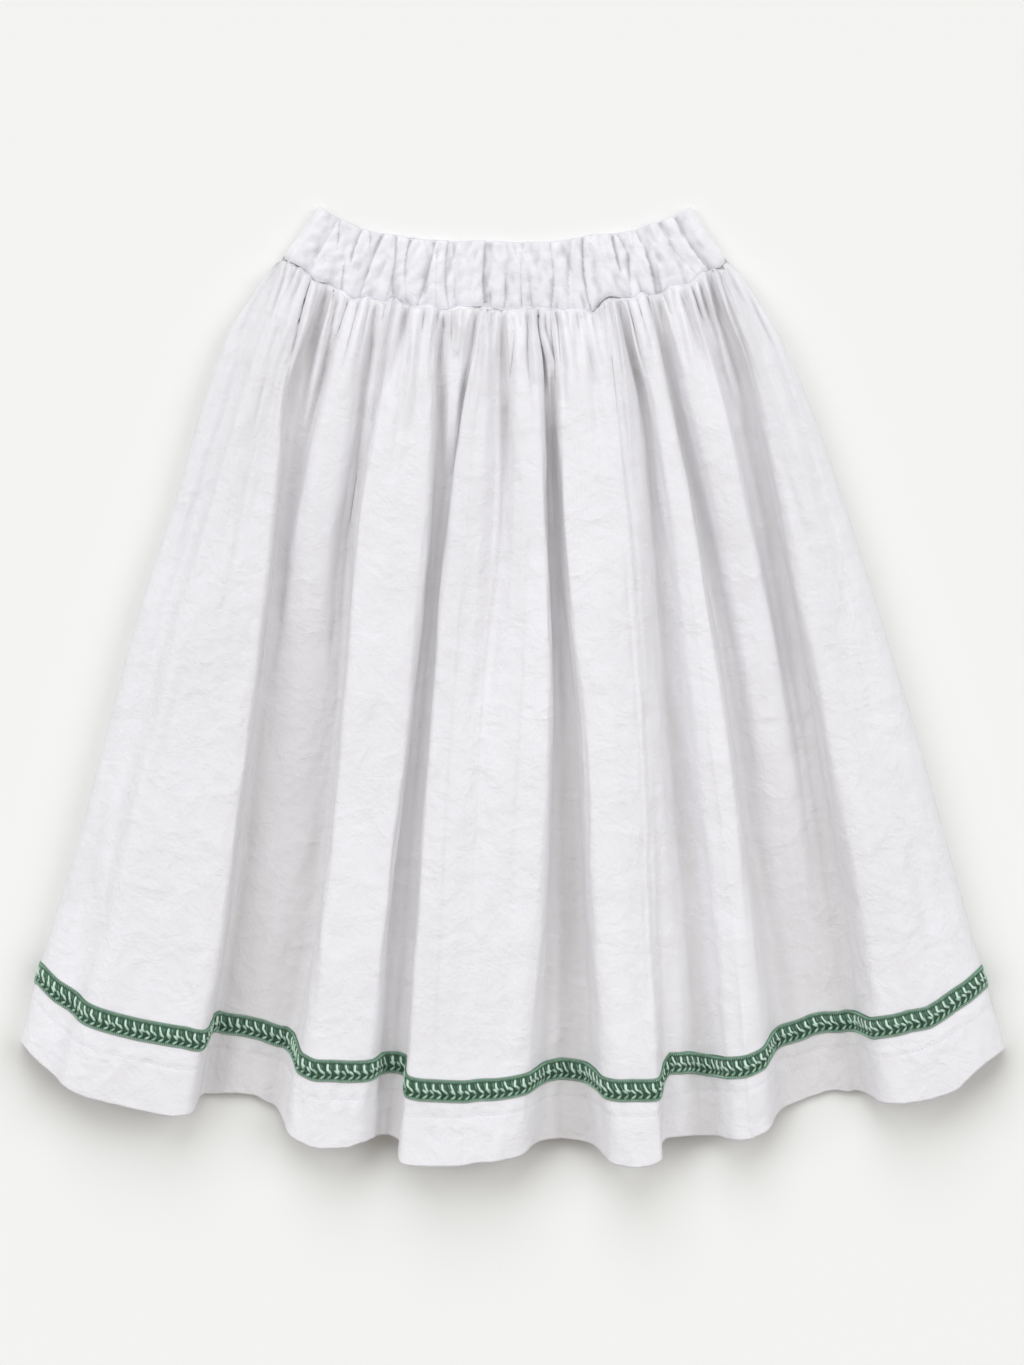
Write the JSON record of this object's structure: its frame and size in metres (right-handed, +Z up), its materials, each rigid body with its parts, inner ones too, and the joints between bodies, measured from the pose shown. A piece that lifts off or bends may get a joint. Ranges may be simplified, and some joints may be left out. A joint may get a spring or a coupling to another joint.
{
  "type": "gathered skirt",
  "caption": "Gathered midi skirt laid flat: white woven cotton with a wide gathered elastic waistband, deep soft folds and a band of green braid above the hem.",
  "frame": {"origin": "on the surface the skirt lies on, under the middle of its bounding box", "axes": "+Z up from the surface, +Y from the hem towards the waist, +X along the hem to the right of the picture"},
  "size_m": [0.8201, 0.7954, 0.0544],
  "materials": {
    "white_cotton": "matt plain weave",
    "green_braid": "matt plaited braid"
  },
  "bodies": {
    "root": {"front_panel": "white_cotton", "back_panel": "white_cotton", "waistband": "white_cotton", "trim_front": "green_braid", "trim_back": "green_braid"}
  },
  "joints": []
}
